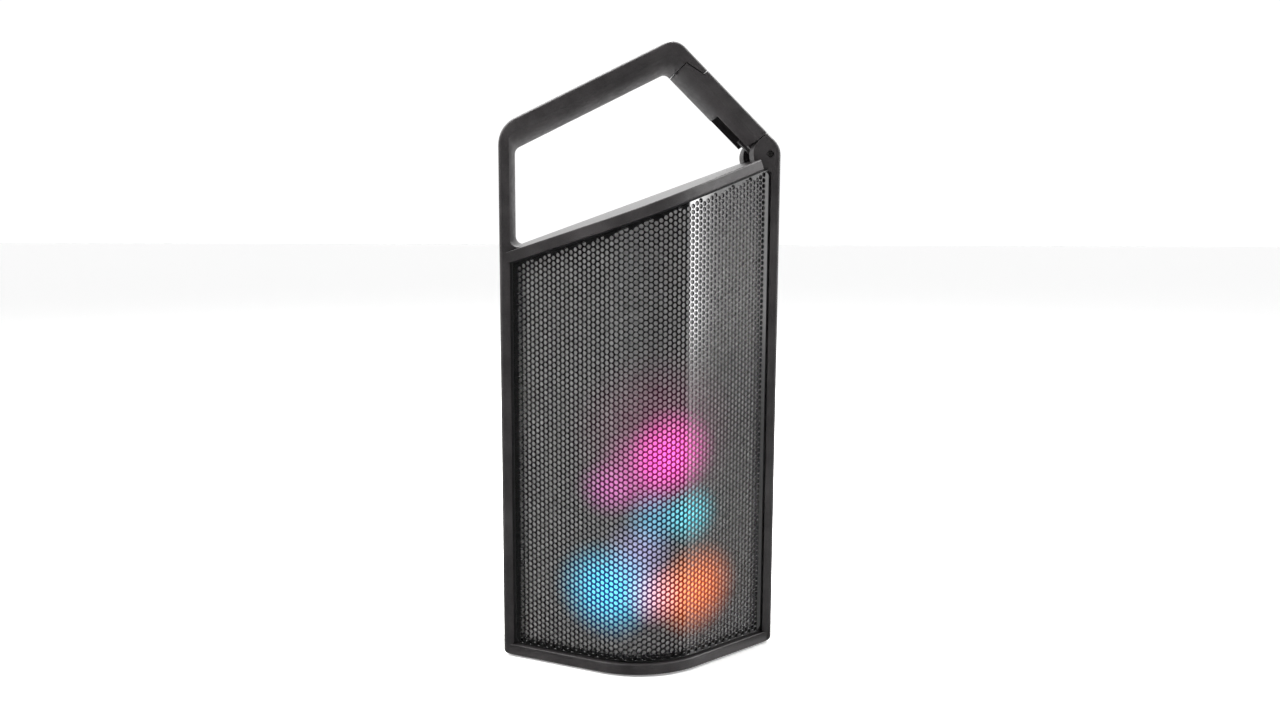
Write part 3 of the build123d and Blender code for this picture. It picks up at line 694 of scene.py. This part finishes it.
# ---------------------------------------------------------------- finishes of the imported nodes
charcoal = moulded_plastic("charcoal_moulding", (0.020, 0.0178, 0.0186), (0.037, 0.0335, 0.0345))
panel_charcoal = moulded_plastic("rear_panel_moulding", (0.026, 0.026, 0.028), (0.032, 0.032, 0.034),
                                 0.55 * mm, 0.04 * mm, 0.55)
inner_black = moulded_plastic("inner_black_moulding", (0.015, 0.015, 0.015), (0.02, 0.02, 0.02), 0.6 * mm)
black_screw = turned_steel("black_oxide_steel", (0.10, 0.10, 0.105), 0.35)
soft_rubber = rubber("soft_rubber", (0.02, 0.02, 0.021), (0.028, 0.028, 0.029))
key_rubber = rubber("key_rubber", (0.040, 0.040, 0.042), (0.05, 0.05, 0.052))
insert_gloss = gloss_plastic("glossy_insert", (0.008, 0.008, 0.009), (0.012, 0.012, 0.013))
board_green = gloss_plastic("solder_mask", (0.015, 0.09, 0.04), (0.02, 0.13, 0.06), 0.5)
cell_blue = gloss_plastic("cell_wrap", (0.03, 0.09, 0.30), (0.05, 0.12, 0.36))
lens_milk = gloss_plastic("milky_lens", (0.70, 0.73, 0.75), (0.78, 0.8, 0.82))
paper_cone = rubber("pressed_paper", (0.05, 0.05, 0.052), (0.07, 0.07, 0.072))
ferrite = turned_steel("ferrite", (0.08, 0.08, 0.085), 0.5)

node_finish = {
    "gasket_foam": soft_rubber, "diffuser_white": diffuser_sheet(), "steel": steel,
    "screw_steel": black_screw,
    "box_plastic": inner_black, "basket_plastic": inner_black, "surround_rubber": soft_rubber,
    "cone_paper": paper_cone, "magnet_ferrite": ferrite, "circuit_board": board_green, "led_body": lens_milk,
    "cell_wrap": cell_blue, "board_part": steel, "panel_plastic": panel_charcoal,
    "insert_gloss": insert_gloss,
    "key_rubber": key_rubber, "lens_plastic": lens_milk, "cover_rubber": soft_rubber,
    "socket_plastic": insert_gloss, "foot_rubber": soft_rubber, "frame_plastic": charcoal,
    "grille_metal": grille_material,
}
for entry in frame["record"]["subparts"]:
    node = frame["nodes"][entry["node"]]
    node.data.materials.clear()
    node.data.materials.append(node_finish[entry["material_slot"]])

smooth_copy("carry_frame", "frame_moulding", charcoal)
smooth_copy("gate", "gate_moulding", charcoal)


# ---------------------------------------------------------------- key symbols and cover ribs
symbol_height = 0.15  # mm, like every other number of the symbols
symbol_root = -0.1
chamfer = 0.06


def raised_strokes(name, outlines, centre, top, material, body):
    """Raised symbols on a face that looks back: each outline is a closed loop of (right, up) mm
    as read from behind, carried from under the face up to its height with a small chamfer.

    A ring, whose outline is a pair of loops, gets walls on both loops and a flat top between them.
    """
    points, faces, base = [], [], 0
    for outline in outlines:
        outer = np.asarray(outline[0], float)
        is_ring = len(outline) == 2
        inner = np.asarray(outline[1], float) if is_ring else outer * 0.0 + outer.mean(0)
        share = chamfer_share(outer, inner)
        shoulder = symbol_height - chamfer
        levels = [(outer, symbol_root), (outer, shoulder), (outer + (inner - outer) * share, symbol_height)]
        if is_ring:
            levels += [(inner + (outer - inner) * share, symbol_height), (inner, shoulder)]
            levels += [(inner, symbol_root)]
        for loop, up in levels:
            across, back = centre[0] - loop[:, 0] * mm, np.full(len(loop), top + up * mm)
            points.append(np.stack([across, back, centre[1] + loop[:, 1] * mm], -1))
        n, rings = len(outer), len(levels)
        r, i = np.meshgrid(np.arange(rings if is_ring else rings - 1), np.arange(n), indexing="ij")
        j, s = (i + 1) % n, (r + 1) % rings
        quads = base + np.stack([r * n + i, r * n + j, s * n + j, s * n + i], -1).reshape(-1, 4)
        faces += quads.tolist()
        if not is_ring:
            loop = base + np.arange(n)
            faces += [(loop + (rings - 1) * n).tolist(), loop[::-1].tolist()]
        base += rings * n
    data = bpy.data.meshes.new(name)
    data.from_pydata(np.concatenate(points).tolist(), [], faces)
    work = bmesh.new()
    work.from_mesh(data)
    bmesh.ops.recalc_face_normals(work, faces=work.faces)
    work.to_mesh(data)
    work.free()
    return finish_piece(name, data, material, body, 30.0)


def chamfer_share(outer, inner):
    """Share of the way from the outer to the inner loop that makes about 0.05 mm."""
    return 0.05 / max(float(np.linalg.norm(outer - inner, axis=1).mean()), 0.1)


def bar_loop(x0, z0, x1, z1, width):
    """Stroke from one point to another with half-round ends."""
    along = math.atan2(z1 - z0, x1 - x0)
    turn = np.linspace(-math.pi / 2, math.pi / 2, 7)
    far_end = np.stack([x1 + width / 2 * np.cos(turn + along), z1 + width / 2 * np.sin(turn + along)], -1)
    near_end = np.stack([x0 - width / 2 * np.cos(turn + along), z0 - width / 2 * np.sin(turn + along)], -1)
    return [np.concatenate([far_end, near_end])]


def arc_loop(radius, start, stop, width, x=0.0, z=0.0, steps=24):
    """Part of a ring between two angles in degrees, as one closed outline."""
    turn = np.radians(np.linspace(start, stop, steps))
    ray = np.stack([np.cos(turn), np.sin(turn)], -1)
    return [np.concatenate([ray * (radius + width / 2), ray[::-1] * (radius - width / 2)]) + (x, z)]


def ring_loops(radius, width, sides=28, x=0.0):
    """Closed ring as an outer and an inner loop."""
    turn = np.arange(sides) * 2 * math.pi / sides
    ray = np.stack([np.cos(turn), np.sin(turn)], -1)
    return [ray * (radius + width / 2) + (x, 0), ray * (radius - width / 2) + (x, 0)]


line = 0.45
key_symbols = {
    "power_button": [arc_loop(1.7, 125, 415, line), bar_loop(0, 0.7, 0, 2.2, line)],
    "pair_button": [arc_loop(0.9, -50, 50, line, -1.2), arc_loop(2.1, -50, 50, line, -1.2),
                    arc_loop(3.3, -50, 50, line, -1.2), ring_loops(0.32, 0.4, 12, -1.9)],
    "volume_down_button": [bar_loop(-1.7, 0, 1.7, 0, line)],
    "play_button": [[np.array([(-2.2, -1.6), (0.4, 0.0), (-2.2, 1.6)])], bar_loop(1.1, -1.4, 1.1, 1.4, line),
                    bar_loop(2.1, -1.4, 2.1, 1.4, line)],
    "volume_up_button": [bar_loop(-1.7, 0, 1.7, 0, line), bar_loop(0, 0.45, 0, 1.7, line),
                         bar_loop(0, -1.7, 0, -0.45, line)],
    "light_button": [ring_loops(0.95, line)] + [
        bar_loop(1.7 * math.cos(a), 1.7 * math.sin(a), 2.3 * math.cos(a), 2.3 * math.sin(a), 0.4)
        for a in np.arange(8) * math.pi / 4
    ],
}
symbol_paint = rubber("symbol_grey", (0.42, 0.42, 0.43), (0.5, 0.5, 0.51))
for node, outlines in key_symbols.items():
    low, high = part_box(node)
    centre = ((low.x + high.x) / 2, (low.z + high.z) / 2)
    raised_strokes(node.replace("button", "symbol"), outlines, centre, high.y, symbol_paint,
                   frame["nodes"][node]["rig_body"])
cover_low, cover_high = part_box("port_cover")
cover_ribs = [bar_loop(-13.6 - 1.3 * k, -3.2, -13.6 - 1.3 * k, 3.2, 0.6) for k in range(3)]
cover_centre = (0.0, (cover_low.z + cover_high.z) / 2)
raised_strokes("port_cover_ribs", cover_ribs, cover_centre, cover_high.y, soft_rubber, "port_cover")
